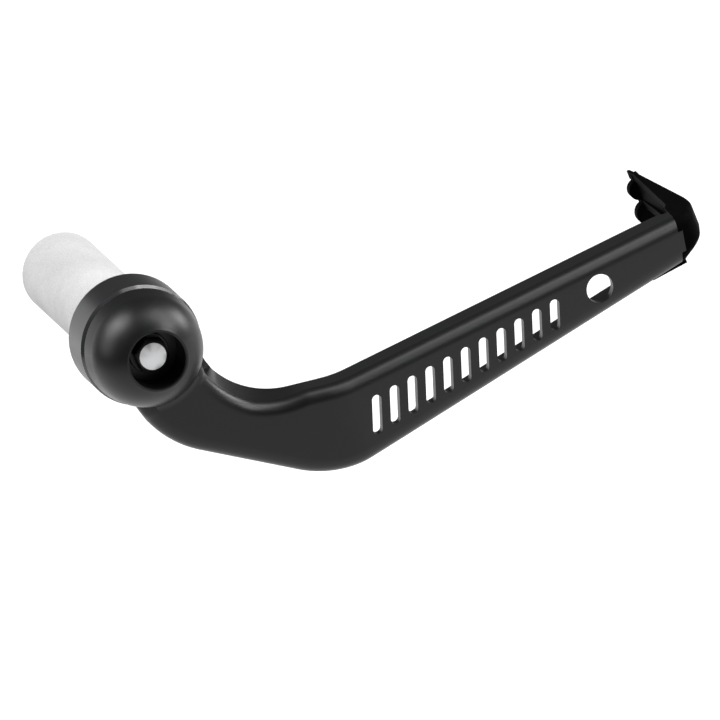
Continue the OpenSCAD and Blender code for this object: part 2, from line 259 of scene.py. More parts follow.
def put_down() -> None:
    """Leaves edit mode and deselects everything."""
    if bpy.context.object and bpy.context.object.mode != "OBJECT":
        bpy.ops.object.mode_set(mode="OBJECT")
    bpy.ops.object.select_all(action="DESELECT")


def pick_up(piece: Piece) -> None:
    """Makes one piece the only selected and active one.

    Args:
        piece: the piece to pick up.
    """
    put_down()
    piece.select_set(True)
    bpy.context.view_layer.objects.active = piece


def close_up(piece: Piece) -> None:
    """Merges doubled points, drops loose edges and turns all faces outwards.

    Args:
        piece: the piece to clean up.
    """
    pick_up(piece)
    bpy.ops.object.mode_set(mode="EDIT")
    bpy.ops.mesh.select_all(action="SELECT")
    bpy.ops.mesh.remove_doubles(threshold=WELD)
    bpy.ops.mesh.delete_loose()
    bpy.ops.mesh.select_all(action="SELECT")
    bpy.ops.mesh.normals_make_consistent(inside=False)
    put_down()


def sweep(name: str, rings: list[Ring]) -> Piece:
    """Extrudes one face through a row of rings with equal counts of points.

    Args:
        name: name of the new piece.
        rings: rings in metres, in order.

    Returns:
        The closed piece.
    """
    put_down()
    bpy.ops.mesh.primitive_circle_add(vertices=len(rings[0]), radius=MM, fill_type="NGON")
    piece = bpy.context.object
    piece.name = name
    bpy.ops.object.mode_set(mode="EDIT")
    mesh = bmesh.from_edit_mesh(piece.data)
    seat = mesh.verts.layers.int.new("seat")
    for i, vert in enumerate(mesh.verts):
        vert[seat] = i
    for number, ring in enumerate(rings):
        if number:
            bpy.ops.mesh.extrude_region_move()
            mesh = bmesh.from_edit_mesh(piece.data)
            seat = mesh.verts.layers.int["seat"]
        for vert in mesh.verts:
            if vert.select:
                vert.co = ring[vert[seat]]
        bmesh.update_edit_mesh(piece.data)
    put_down()
    piece.data.attributes.remove(piece.data.attributes["seat"])
    close_up(piece)
    return piece


def lathe(name: str, profile: list[Pair], steps: int = 128) -> Piece:
    """Spins a profile round the bar axis.

    Args:
        name: name of the new piece.
        profile: pairs of radius and distance outboard, in mm, as a closed outline or one
            that starts and ends on the axis.
        steps: number of steps in the full turn.

    Returns:
        The closed piece.
    """
    points = [world(r, out, 0) for r, out in profile]
    put_down()
    bpy.ops.mesh.primitive_plane_add(size=MM)
    piece = bpy.context.object
    piece.name = name
    bpy.ops.object.mode_set(mode="EDIT")
    bpy.ops.mesh.select_all(action="SELECT")
    bpy.ops.mesh.merge(type="CENTER")
    bpy.ops.transform.translate(value=points[0])
    for a, b in zip(points, points[1:]):
        bpy.ops.mesh.extrude_vertices_move(TRANSFORM_OT_translate={"value": b - a})
    bpy.ops.mesh.select_all(action="SELECT")
    bpy.ops.mesh.spin(steps=steps, angle=math.tau, center=(0, 0, 0), axis=(0, 1, 0))
    put_down()
    close_up(piece)
    return piece


def prism(name: str, outline: Outline, near: float, far: float) -> Piece:
    """Extrudes an outline on X and Z along the bar axis.

    Args:
        name: name of the new piece.
        outline: points in mm.
        near: distance outboard of the first end, in mm.
        far: distance outboard of the second end, in mm.

    Returns:
        The closed piece.
    """
    return sweep(name, [[world(x, out, z) for x, z in outline] for out in (near, far)])


def work(piece: Piece, tool: Piece, way: Cut) -> Piece:
    """Applies one piece to another and throws the tool away.

    Args:
        piece: the piece that is kept.
        tool: the piece that is used up.
        way: what the tool does.

    Returns:
        The kept piece.
    """
    pick_up(piece)
    step = piece.modifiers.new("work", "BOOLEAN")
    step.operation, step.object, step.solver = way.value, tool, "EXACT"
    bpy.ops.object.modifier_apply(modifier=step.name)
    bpy.data.objects.remove(tool)
    return piece


def polish(piece: Piece) -> None:
    """Shades curved faces smooth and keeps crisp edges.

    Args:
        piece: the finished mesh.
    """
    pick_up(piece)
    bpy.ops.object.shade_smooth_by_angle(angle=math.radians(CRISP))
    step = piece.modifiers.new("even", "WEIGHTED_NORMAL")
    step.keep_sharp, step.weight = True, 90
    bpy.ops.object.modifier_apply(modifier=step.name)


# Finishes


def linear(code: str) -> tuple[float, float, float, float]:
    """Turns an sRGB hex code into linear colour.

    Args:
        code: such as "#1e1f20".

    Returns:
        Red, green, blue and alpha.
    """
    parts = [int(code[i : i + 2], 16) / 255 for i in (1, 3, 5)]
    turned = [c / 12.92 if c <= 0.04045 else ((c + 0.055) / 1.055) ** 2.4 for c in parts]
    return (*turned, 1.0)


def add_node(tree: Tree, kind: str, settings: dict | None = None) -> bpy.types.Node:
    """Adds a node with its settings and links.

    Args:
        tree: the tree that gets the node.
        kind: the node's type, without the ShaderNode that begins it.
        settings: names of properties with their values, and names or numbers of sockets
            with a value or with the output that feeds them.

    Returns:
        The new node.
    """
    node = tree.nodes.new("ShaderNode" + kind)
    for key, value in (settings or {}).items():
        if isinstance(value, Socket):
            tree.links.new(value, node.inputs[key])
        elif isinstance(key, int) or key in node.inputs:
            node.inputs[key].default_value = value
        else:
            setattr(node, key, value)
    return node


def blank_tree(holder: bpy.types.Material | bpy.types.World) -> Tree:
    """Switches a material or world to nodes and empties its tree.

    Args:
        holder: the material or world.

    Returns:
        Its empty node tree.
    """
    holder.use_nodes = True
    holder.node_tree.nodes.clear()
    return holder.node_tree


def sees_backdrop(tree: Tree, share: Socket | float = 1.0) -> Socket:
    """Adds nodes that tell which rays are shown the white background.

    Camera rays always are. Glossy and transmission rays are too, so that metal and
    polish mirror it.

    Args:
        tree: node tree of a world or material.
        share: how much of the background lies in a mirrored ray's way.

    Returns:
        The socket that runs from 0 to 1.
    """
    path = add_node(tree, "LightPath").outputs
    either = {"operation": "MAXIMUM", 0: path["Is Glossy Ray"], 1: path["Is Transmission Ray"]}
    mirrored = add_node(tree, "Math", either).outputs[0]
    part = {"operation": "MULTIPLY", 0: mirrored, 1: share}
    shown = add_node(tree, "Math", part).outputs[0]
    whole = {"operation": "MAXIMUM", 0: path["Is Camera Ray"], 1: shown}
    return add_node(tree, "Math", whole).outputs[0]


@dataclass(frozen=True)
class Finish:
    """One material with the way its surface was made; the collar's chamfer finish also carries a
    painted highlight in its colour.
    """

    name: str
    colour: str
    speck: str
    grain: Grain
    grain_mm: float
    bump_mm: float
    roughness: float
    roughness_play: float
    metallic: float = 0.0
    ior: float = 1.5
    specular: float = 0.5
    noise_roughness: float = 0.62
    height_span: Pair = (0.3, 0.7)
    cloud_mm: float = 14.0
    cloud_share: float = 0.35

    def _pattern(self, tree: Tree, place: Socket) -> Socket:
        """Draws the fine pattern that the making left.

        Args:
            tree: the material's tree.
            place: Object coordinates, in metres.

        Returns:
            A value from 0 to 1 that says how high the surface stands.
        """
        per_metre = 1 / (self.grain_mm * MM)
        if self.grain is Grain.TURNED:
            rings = {
                "wave_type": "BANDS",
                "bands_direction": "Y",
                "Vector": place,
                "Scale": per_metre / math.tau * 2,
                "Distortion": 1.5,
                "Detail": 2.0,
                "Detail Scale": 1.5,
            }
            return add_node(tree, "TexWave", rings).outputs["Fac"]
        specks = {
            "Vector": place,
            "Scale": per_metre,
            "Detail": NOISE_DETAIL[self.grain],
            "Roughness": self.noise_roughness,
        }
        return add_node(tree, "TexNoise", specks).outputs["Fac"]

    def _tint(self, tree: Tree, place: Socket, height: Socket) -> Socket:
        """Mixes the two colours by the surface's height and by soft clouds.

        Args:
            tree: the material's tree.
            place: Object coordinates, in metres.
            height: how high the surface stands, from 0 to 1.

        Returns:
            The colour.
        """
        per_metre = 1 / (self.cloud_mm * MM)
        clouds = {"Vector": place, "Scale": per_metre, "Detail": 3.0, "Roughness": 0.5}
        rest = {"operation": "MULTIPLY", 0: height, 1: 1 - self.cloud_share}
        blend = {
            "operation": "MULTIPLY_ADD",
            "use_clamp": True,
            0: add_node(tree, "TexNoise", clouds).outputs["Fac"],
            1: self.cloud_share,
            2: add_node(tree, "Math", rest).outputs[0],
        }
        mix = {
            "data_type": "RGBA",
            0: add_node(tree, "Math", blend).outputs[0],
            6: linear(self.colour),
            7: linear(self.speck),
        }
        return add_node(tree, "Mix", mix).outputs[2]

    def build(self) -> bpy.types.Material:
        """Makes the material.

        Returns:
            A new procedural material.
        """
        made = bpy.data.materials.new(self.name)
        tree = blank_tree(made)
        place = add_node(tree, "TexCoord").outputs["Object"]
        height = self._pattern(tree, place)
        rough = {
            "Value": height,
            "From Min": self.height_span[0],
            "From Max": self.height_span[1],
            "To Min": self.roughness - self.roughness_play,
            "To Max": self.roughness + self.roughness_play,
        }
        bump = {"Strength": 1.0, "Distance": self.bump_mm * MM, "Height": height}
        shading = {
            "Base Color": self._tint(tree, place, height),
            "Roughness": add_node(tree, "MapRange", rough).outputs[0],
            "Normal": add_node(tree, "Bump", bump).outputs[0],
            "Metallic": self.metallic,
            "IOR": self.ior,
            "Specular IOR Level": self.specular,
        }
        shader = add_node(tree, "BsdfPrincipled", shading)
        add_node(tree, "OutputMaterial", {"Surface": shader.outputs[0]})
        return made


# Glass-filled nylon, injection moulded in a spark-eroded tool: a satin black whose fine
# sparkle spreads each highlight. The grain is 0.3 mm where the real one is about 0.1 mm,
# so that it shows at all.
MOULDED_NYLON = Finish(
    "moulded_glass_filled_nylon", "#08090a", "#0d0e0f", Grain.SPARKED_MOULD,
    grain_mm=0.3, bump_mm=0.004, roughness=0.37, roughness_play=0.05, specular=0.33,
)
# Nylon of the end tip, drawn near black, rough and with almost no shine, so that it renders an
# even deep black.
NEAR_BLACK_NYLON = Finish(
    "near_black_tip_nylon", "#020202", "#040404", Grain.SPARKED_MOULD,
    grain_mm=0.3, bump_mm=0.003, roughness=0.7, roughness_play=0.04, specular=0.02,
)
# Acetal collar, turned from bar: faint rings round the axis and a soft satin sheen.
TURNED_ACETAL = Finish(
    "turned_black_acetal", "#101111", "#151616", Grain.TURNED,
    grain_mm=0.5, bump_mm=0.003, roughness=0.38, roughness_play=0.04, specular=0.45,
)
# The collar's chamfer, cut last with a fresh tool: smoother than the rest, and drawn in a lighter
# colour as a painted highlight for the bright rim along it.
CHAMFER_HIGHLIGHT_ACETAL = Finish(
    "acetal_painted_chamfer_highlight", "#242526", "#2b2c2d", Grain.TURNED,
    grain_mm=0.4, bump_mm=0.001, roughness=0.17, roughness_play=0.03, specular=0.9,
)
# Aluminium bar, bead blasted: pale, dry and evenly speckled. The beads leave pits of about
# 0.2 mm, drawn at 0.45 mm.
BLASTED_ALUMINIUM = Finish(
    "bead_blasted_aluminium", "#7b7c7c", "#eeeeee", Grain.BEAD_BLAST,
    grain_mm=0.45, bump_mm=0.012, roughness=0.72, roughness_play=0.08, metallic=0.25,
)
# Steel bolt head whose top was ground flat: light grey with a fine broken grain.
GROUND_STEEL = Finish(
    "ground_steel", "#bcbdbe", "#d4d4d5", Grain.GROUND,
    grain_mm=0.5, bump_mm=0.006, roughness=0.36, roughness_play=0.08, metallic=1.0,
)
# Steel, blackened in a hot oxide bath: near black with a dull shine.
OXIDE_STEEL = Finish(
    "black_oxide_steel", "#18181a", "#232325", Grain.GROUND,
    grain_mm=0.4, bump_mm=0.003, roughness=0.34, roughness_play=0.06, metallic=0.5,
)


def dress(piece: Piece, node: str, finish: Finish) -> Piece:
    """Polishes a piece, gives it its finish and puts it in the frame.

    Args:
        piece: the finished mesh.
        node: the CAD node that it stands for.
        finish: the finish of the whole piece.

    Returns:
        The same piece.
    """
    polish(piece)
    piece.data.materials.clear()
    piece.data.materials.append(finish.build())
    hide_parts(node)
    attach(piece, BODY)
    log.info("%s: %d faces, %s", piece.name, len(piece.data.polygons), finish.name)
    return piece


def touch_up(piece: Piece, finish: Finish, belongs: Callable[[Vector], bool]) -> None:
    """Gives some faces of a dressed piece another finish.

    Args:
        piece: the dressed piece.
        finish: the finish that those faces get.
        belongs: tells from a face's middle, in metres, whether it is one of them.
    """
    piece.data.materials.append(finish.build())
    number = len(piece.data.materials) - 1
    for face in piece.data.polygons:
        if belongs(face.center):
            face.material_index = number


# Sub-assemblies


@dataclass
class BarFixing:
    """The plug in the bar's bore and the collar between hub and bar."""

    plug_d: float = 20.0
    plug_len: float = 62.0
    plug_round: float = 2.0
    tapped_d: float = 5.1
    tapped_deep: float = 24.5
    drill_point: float = 1.2
    collar_d: float = 30.0
    collar_t: float = 12.5
    collar_bevel: float = 0.7
    collar_hole: float = 5.5
    register_r: float = 10.2
    register_deep: float = 1.5
    neck_in: float = 0.6
    edge_steps: int = 8

    def plug(self) -> Piece:
        """Turns the plug with its rounded inner end and the tapped hole.

        Returns:
            The plug.
        """
        r, hole, start = self.plug_d / 2, self.tapped_d / 2, self.register_deep
        rounds = quarter(self.plug_round, self.edge_steps)
        neck = r - self.neck_in
        profile = [(hole, start), (neck, start), (neck, 0.0), (r, 0.0)]
        profile += [(r - a, -self.plug_len + b) for a, b in rounds]
        profile += [(0.0, -self.plug_len), (0.0, -self.tapped_deep - self.drill_point)]
        profile += [(hole, -self.tapped_deep), (hole, start)]
        return lathe("bar_plug", profile)

    def collar(self) -> Piece:
        """Turns the collar with its softened edges.

        Returns:
            The collar.
        """
        r, hole, b = self.collar_d / 2, self.collar_hole / 2, self.collar_bevel
        rounds = quarter(b, self.edge_steps)
        profile = [(hole, self.register_deep), (self.register_r, self.register_deep)]
        profile += [(self.register_r, 0.0)]
        profile += [(r - d, a) for a, d in rounds]
        profile += [(r, self.collar_t - b), (r - b, self.collar_t)]
        profile += [(hole, self.collar_t), (hole, self.register_deep)]
        return lathe("collar", profile, WIDE_TURN)

    def on_chamfer(self, place: Vector) -> bool:
        """Tells whether a place in metres lies on the collar's outboard chamfer.

        Args:
            place: a face's middle, in metres.

        Returns:
            True on the chamfer.
        """
        out, r = -place.y / MM, Vector((place.x, place.z)).length / MM
        past = self.collar_t - self.collar_bevel
        return past < out < self.collar_t and r > self.collar_d / 2 - self.collar_bevel

    def build(self) -> None:
        """Builds and dresses both."""
        dress(self.plug(), "bar_insert", BLASTED_ALUMINIUM)
        collar = dress(self.collar(), "spacer_collar", TURNED_ACETAL)
        # The chamfer's lighter colour is a painted highlight along the collar's rim.
        touch_up(collar, CHAMFER_HIGHLIGHT_ACETAL, self.on_chamfer)


@dataclass
class ClampBolt:
    """The bolt whose head sits in the hub's counterbore, and its washer."""

    across_flats: float = 7.8
    head_h: float = 3.5
    flat_d: float = 6.7
    chamfer: float = 30.0
    turn: float = -27.0
    shank_d: float = 5.0
    shank_len: float = 40.0
    tip_bevel: float = 0.6
    room_lap: float = 0.5
    top_skin: float = 0.1
    floor: float = 18.5
    washer_d: float = 10.0
    washer_t: float = 1.0
    washer_hole: float = 5.5
    washer_round: float = 0.2
    round_steps: int = 3

    @property
    def seat(self) -> float:
        """Returns how far outboard the head's underside lies."""
        return self.floor + self.washer_t

    @property
    def top(self) -> float:
        """Returns how far outboard the head's top lies."""
        return self.seat + self.head_h

    def bolt(self) -> Piece:
        """Turns the shank and head, then mills the six flats.

        Returns:
            The bolt.
        """
        r, bevel, flat_r = self.shank_d / 2, self.tip_bevel, self.flat_d / 2
        tip, wide = self.seat - self.shank_len, self.across_flats
        fall = (wide - flat_r) * math.tan(math.radians(self.chamfer))
        profile = [(0.0, tip), (r - bevel, tip), (r, tip + bevel), (r, self.seat)]
        profile += [(wide, self.seat), (wide, self.top - fall)]
        profile += [(flat_r, self.top), (0.0, self.top)]
        blank = lathe("clamp_bolt", profile, SMALL_TURN)
        corner = self.across_flats / 2 / math.cos(math.radians(360 / 12))
        hexagon = ngon(Vector((0, 0)), corner, 6, self.turn)
        mill = prism("mill", hexagon, self.seat - LAP, self.top + PAST)
        shank_room = prism("room", hexagon, tip - PAST, self.seat + self.room_lap)
        work(mill, shank_room, Cut.JOIN)
        work(blank, mill, Cut.KEEP_COMMON)
        close_up(blank)
        return blank

    def washer(self) -> Piece:
        """Punches the washer, with its soft outer edge.

        Returns:
            The washer.
        """
        r, hole = self.washer_d / 2, self.washer_hole / 2
        rounds = quarter(self.washer_round, self.round_steps)
        profile = [(hole, self.floor), (r, self.floor)]
        profile += [(r - a, self.seat - d) for a, d in rounds]
        profile += [(hole, self.seat), (hole, self.floor)]
        return lathe("washer", profile, SMALL_TURN)

    def on_top(self, place: Vector) -> bool:
        """Tells whether a place in metres lies on the head's flat top."""
        return -place.y > (self.top - self.top_skin) * MM

    def build(self) -> None:
        """Builds and dresses both."""
        bolt = dress(self.bolt(), "clamp_bolt", OXIDE_STEEL)
        touch_up(bolt, GROUND_STEEL, self.on_top)
        dress(self.washer(), "bolt_washer", OXIDE_STEEL)


@dataclass
class Blade:
    """Lines of the arm and blade, shared by the moulding and the end tip.

    Knee and belly are corners of the edge lines, with the radius that rounds each. The
    starts and the root are places on the hub, as a share of its radius and an angle in
    degrees. The flange deepens over the ramp past the collar, and the upper one leans out
    round the neck. The key is the step in the joint with the end tip.
    """

    hub_r: float = 14.6
    hub_back: float = 12.5
    face_out: float = 3.0
    flange_deep: float = 9.3
    edge_r: float = 3.6
    wall: float = 2.4
    drop: float = 39.9
    top_start: Pair = (0.98, -17.0)
    top_root: Pair = (1.025, -34.0)
    root_r: float = 8.0
    knee: Triple = (17.9, -24.5, 22.0)
    low_start: Pair = (0.91, -124.0)
    belly: Triple = (-4.1, -24.6, 27.0)
    belly_r: float = 27.0
    neck_r: float = 45.0
    reach: float = 135.3
    height: float = 21.1
    end_height: float = 11.2
    lean: float = 12.5
    lean_x: float = 37.0
    lean_r: float = 30.0
    elbow_top_x: float = 42.3
    elbow_low_x: float = 32.1
    climb: float = 0.45
    over: float = 3.0
    cut_x: float = 4.0
    cut: float = 3.4
    collar_r: float = 15.0
    flange_gap: float = 0.2
    ramp: Pair = (2.8, 6.8)
    neck_draft: float = 1.9
    neck_rise: Pair = (14.0, 18.0)
    neck_span: Pair = (21.0, 33.0)
    joint_lean: float = 0.2
    key_half: float = 2.5
    key_out: float = 1.2
    key_drop: float = 0.1
    edge_steps: int = 10
    face_cells: int = 4

    @property
    def face_y(self) -> float:
        """Returns where the straight outer face lies, inboard being positive."""
        return -(self.hub_back + self.face_out)

    def _edge_z(self, x: float, side: int) -> float:
        """Works out the height of an edge at a forward place.

        Args:
            x: the forward place.
            side: 1 for the top edge and -1 for the bottom one.

        Returns:
            The height.
        """
        taper = side * (self.height - self.end_height) / 2
        slope = (self.climb - taper) / (self.reach - self.elbow_top_x)
        return -self.drop + side * self.height / 2 + slope * (x - self.elbow_top_x)

    def top_z(self, x: float) -> float:
        """Returns the height of the blade's top edge."""
        return self._edge_z(x, 1)

    def low_z(self, x: float) -> float:
        """Returns the height of the blade's bottom edge."""
        return self._edge_z(x, -1)

    def mid_z(self, x: float) -> float:
        """Returns the height of the blade's middle."""
        return (self.top_z(x) + self.low_z(x)) / 2

    def face_at(self, x: float) -> float:
        """Works out how far inboard the outer face lies at a forward place.

        Args:
            x: the forward place.

        Returns:
            The distance inboard.
        """
        lean = math.radians(self.lean)
        run = self.lean_r * math.sin(lean)
        if x <= self.lean_x:
            return self.face_y
        if x < self.lean_x + run:
            return self.face_y + self.lean_r - math.sqrt(self.lean_r**2 - (x - self.lean_x) ** 2)
        flat = x - self.lean_x - run
        return self.face_y + self.lean_r * (1 - math.cos(lean)) + flat * math.tan(lean)

    def flange_at(self, p: Vector) -> float:
        """Works out how deep a flange is: low beside the collar, cut back at the tip.

        Args:
            p: a point on an edge line.

        Returns:
            The depth.
        """
        low = self.face_out - self.flange_gap
        full = self.flange_deep - self.cut * share_of(p.x, self.reach - self.cut_x, self.reach)
        near, far = (self.collar_r + r for r in self.ramp)
        return low + (full - low) * share_of(p.length, near, far)

    def edge_at(self, p: Vector) -> float:
        """Returns the radius of the long outer edge at a point."""
        return min(self.edge_r, self.flange_at(p) - self.flange_gap)

    def draft_at(self, p: Vector) -> float:
        """Returns how far the upper flange leans out towards its back edge round the neck."""
        past_neck = share_of(p.x, *self.neck_span)
        return self.neck_draft * (1 - past_neck) * share_of(p.length, *self.neck_rise)

    def _on_hub(self, share: float, degrees: float) -> Vector:
        """Returns a place at a share of the hub's radius and an angle."""
        return polar(self.hub_r * share, degrees)

    def top_line(self) -> BentLine:
        """Lays out the upper edge from the hub to past the blade's end.

        Returns:
            The line, on X and Z.
        """
        end = self.reach + self.over
        return BentLine(
            [
                (*self._on_hub(*self.top_start), 0),
                (*self._on_hub(*self.top_root), self.root_r),
                self.knee,
                (self.elbow_top_x, self.top_z(self.elbow_top_x), self.neck_r),
                (end, self.top_z(end), 0),
            ]
        )

    def low_line(self) -> BentLine:
        """Lays out the lower edge from the hub to past the blade's end.

        Returns:
            The line, on X and Z.
        """
        end = self.reach + self.over
        return BentLine(
            [
                (*self._on_hub(*self.low_start), 0),
                self.belly,
                (self.elbow_low_x, self.low_z(self.elbow_low_x), self.belly_r),
                (end, self.low_z(end), 0),
            ]
        )

    def on_face(self, p: Vector, deep: float) -> Vector:
        """Returns the frame's point at a depth under the outer face."""
        return world(p.x, -(self.face_at(p.x) + deep), p.y)

    def section(self, t: Vector, nt: Vector, b: Vector, nb: Vector) -> Ring:
        """Gives one ring round the open channel.

        Args:
            t: point on the upper edge.
            nt: direction from it into the blade.
            b: point on the lower edge.
            nb: direction from it into the blade.

        Returns:
            The ring, in metres.
        """
        edge_t, edge_b = self.edge_at(t), self.edge_at(b)
        draft = nt * self.draft_at(t)
        ti, bi = t + nt * self.wall, b + nb * self.wall
        deep_t, deep_b = self.flange_at(t), self.flange_at(b)
        ring = [self.on_face(t, deep_t)]
        ring += [self.on_face(t + draft + nt * a, d) for a, d in quarter(edge_t, self.edge_steps)]
        start, stop = t + draft + nt * edge_t, b + nb * edge_b
        cells = [k / self.face_cells for k in range(1, self.face_cells)]
        ring += [self.on_face(start.lerp(stop, k), 0) for k in cells]
        rounds = reversed(quarter(edge_b, self.edge_steps))
        ring += [self.on_face(b + nb * a, d) for a, d in rounds]
        ring += [self.on_face(b, deep_b)]
        back_b = Vector((bi.x * MM, self.on_face(b, deep_b).y, bi.y * MM))
        back_t = Vector((ti.x * MM, self.on_face(t, deep_t).y, ti.y * MM))
        ring += [back_b, self.on_face(bi, self.wall)]
        ring += [self.on_face(bi.lerp(ti + draft, k), self.wall) for k in cells]
        ring += [self.on_face(ti + draft, self.wall), back_t]
        return ring

    def joint_x(self, z: float) -> float:
        """Returns where the joint with the end tip lies at a height."""
        return self.reach + self.joint_lean * (z - self.top_z(self.reach))

    def joint_line(self, shift: float) -> list[Pair]:
        """Gives the keyed joint line from above the blade to below it.

        Args:
            shift: distance by which the line is moved forward.

        Returns:
            Points on X and Z.
        """
        middle = self.mid_z(self.reach) - self.key_drop
        high, low = middle + self.key_half, middle - self.key_half
        return [
            (self.joint_x(0) + shift, 0),
            (self.joint_x(high) + shift, high + shift),
            (self.joint_x(high) + self.key_out + shift, high + shift),
            (self.joint_x(low) + self.key_out + shift, low - shift),
            (self.joint_x(low) + shift, low - shift),
            (self.joint_x(-BEYOND) + shift, -BEYOND),
        ]


@dataclass
class GuardArm:
    """The one moulding: hub, arm and open-backed blade.

    The ball is the hub's dome and the skirt its straight foot. Groove lip and rim bevel
    are small steps, as distances in from a radius and along the axis. Laps are lengths by
    which solids run into each other before they are joined.
    """

    blade: Blade
    hub_len: float = 15.0
    ball_r: float = 14.1
    ball_off: float = 3.1
    skirt_end: float = 4.5
    groove: float = 0.6
    groove_deep: float = 3.0
    groove_lip: tuple[Pair, ...] = ((0.35, 0.0), (0.1, 0.1), (0.03, 0.35))
    dome_steps: int = 40
    dome_stop: float = 0.45
    rim_bevel: Pair = (0.25, 0.02)
    bore_d: float = 14.2
    bore_deep: float = 9.0
    lip_r: float = 0.55
    lip_steps: int = 6
    bolt_hole: float = 5.5
    root_fillet: float = 2.4
    root_out: float = 0.5
    root_lap: float = 1.2
    root_sunk: float = 0.3
    fillet_steps: int = 12
    slot_count: int = 11
    slot_w: float = 2.5
    slot_h: float = 9.6
    slot_taper: float = 2.0
    slot_slant: float = 20.0
    slot_span: Pair = (47.0, 98.0)
    slot_drop: float = 0.6
    slot_steps: int = 32
    cutter_half: float = 40.0
    tip_room: float = 60.0
    hole_d: float = 7.0
    hole_x: float = 111.0
    rib_t: float = 1.8
    rib_low: float = 1.6
    rib_stations: tuple[int, ...] = (30, 42, 54, 68)
    rib_places: Pair = (105.0, 118.0)
    arm_stations: int = 52
    elbow_stations: int = 28
    blade_stations: int = 14

    def _stations(self) -> list[tuple[Vector, Vector, Vector, Vector]]:
        """Pairs points of the two edges, each with its direction into the blade.

        Returns:
            Rows of upper point and direction, then lower point and direction.
        """
        top, low = self.blade.top_line(), self.blade.low_line()
        top_marks = [0.0, top.after_arc(2), top.after_arc(3), top.length]
        low_marks = [0.0, low.before_arc(2), low.after_arc(2), low.length]
        counts = [self.arm_stations, self.elbow_stations, self.blade_stations]

        def spread(marks: list[float]) -> list[float]:
            """Shares the distances between the marks into equal steps.

            Args:
                marks: distances at which the step changes.

            Returns:
                The distance of every station.
            """
            runs = [0.0]
            for a, b, n in zip(marks, marks[1:], counts):
                runs += [a + (b - a) * k / n for k in range(1, n + 1)]
            return runs

        tops = [top.at(s) for s in spread(top_marks)]
        lows = [low.at(s) for s in spread(low_marks)]
        last = len(tops) - 1
        rows = []
        for i, (t, b) in enumerate(zip(tops, lows)):
            after, before = min(i + 1, last), max(i - 1, 0)
            into_t = right_of(unit(tops[after] - tops[before]))
            into_b = left_of(unit(lows[after] - lows[before]))
            rows.append((t, into_t, b, into_b))
        return rows

    def _outline(self, inset: float) -> Ring:
        """Gives the arm's outline up to the elbow, drawn in by a distance.

        Args:
            inset: the distance.

        Returns:
            The outline, on X and Z.
        """
        rows = self._stations()[: self.arm_stations + self.elbow_stations + 1]
        top = [t + nt * inset for t, nt, _, _ in rows]
        low = [b + nb * inset for _, _, b, nb in reversed(rows)]
        return top + low

    def channel(self) -> Piece:
        """Extrudes the open channel along the arm and blade."""
        return sweep("guard_arm_moulding", [self.blade.section(*row) for row in self._stations()])

    def hub(self) -> Piece:
        """Turns the domed hub with its groove, lip and counterbore.

        Returns:
            The hub.
        """
        b, back, bolt = self.blade, self.blade.hub_back, self.bolt_hole / 2
        mouth, bore = back + self.hub_len, self.bore_d / 2
        ball, face = back + self.ball_off, back + self.groove
        foot = b.hub_r - self.groove_deep
        profile = [(bolt, back), (foot, back), (foot, face)]
        profile += [(b.hub_r - near, face + out) for near, out in self.groove_lip]
        low = math.asin((back + self.skirt_end - ball) / self.ball_r)
        high = math.asin((mouth - self.lip_r * self.dome_stop - ball) / self.ball_r)
        for k in range(self.dome_steps + 1):
            a = low + (high - low) * k / self.dome_steps
            profile.append((self.ball_r * math.cos(a), ball + self.ball_r * math.sin(a)))
        rim_r, floor = profile[-1][0], mouth - self.bore_deep
        lip = quarter(self.lip_r, self.lip_steps)
        profile += [(rim_r - self.rim_bevel[0], mouth - self.rim_bevel[1])]
        profile += [(bore + self.lip_r, mouth)]
        profile += [(bore + self.lip_r - d, mouth - a) for a, d in lip][1:]
        profile[-1] = (bore, mouth - self.lip_r)
        profile += [(bore, floor), (bolt, floor), (bolt, back)]
        return lathe("hub", profile, WIDE_TURN)

    def root(self) -> Piece:
        """Turns the hollow fillet between hub and arm, trimmed to the arm.

        Returns:
            The fillet.
        """
        b, fillet = self.blade, self.root_fillet
        face = b.hub_back + b.face_out
        inner, outer = b.hub_r - self.root_lap, b.hub_r - self.root_out + fillet
        sunk, steps = face - self.root_sunk, self.fillet_steps
        profile = [(inner, sunk), (outer, sunk), (outer, face)]
        for a in (math.pi / 2 * k / steps for k in range(1, steps + 1)):
            profile.append((outer - fillet * math.sin(a), face + fillet * (1 - math.cos(a))))
        profile += [(inner, face + fillet), (inner, sunk)]
        ring = lathe("root", profile, WIDE_TURN)
        trim = prism("trim", self._outline(b.edge_r), face - b.wall, face + fillet + PAST)
        return work(ring, trim, Cut.KEEP_COMMON)

    def _rib(self, a: Vector, b: Vector) -> Piece:
        """Makes one cross rib between two edge points.

        Args:
            a: the point on the upper edge.
            b: the point on the lower edge.

        Returns:
            The rib.
        """
        blade = self.blade
        along = unit(b - a)
        a = a + along * blade.draft_at(a)
        side, lap = left_of(along) * self.rib_t / 2, along * blade.wall / 2
        far = max(blade.face_at(a.x), blade.face_at(b.x)) + blade.wall / 2
        near = min(blade.face_at(a.x), blade.face_at(b.x)) + blade.flange_deep - self.rib_low
        corners = [a + lap + side, b - lap + side, b - lap - side, a + lap - side]
        return prism("rib", corners, -near, -far)

    def ribs(self) -> list[Piece]:
        """Makes the cross ribs.

        Returns:
            The ribs.
        """
        b, rows = self.blade, self._stations()
        ribs = [self._rib(rows[i][0], rows[i][2]) for i in self.rib_stations]
        for x in self.rib_places:
            ribs.append(self._rib(Vector((x, b.top_z(x))), Vector((x, b.low_z(x)))))
        return ribs

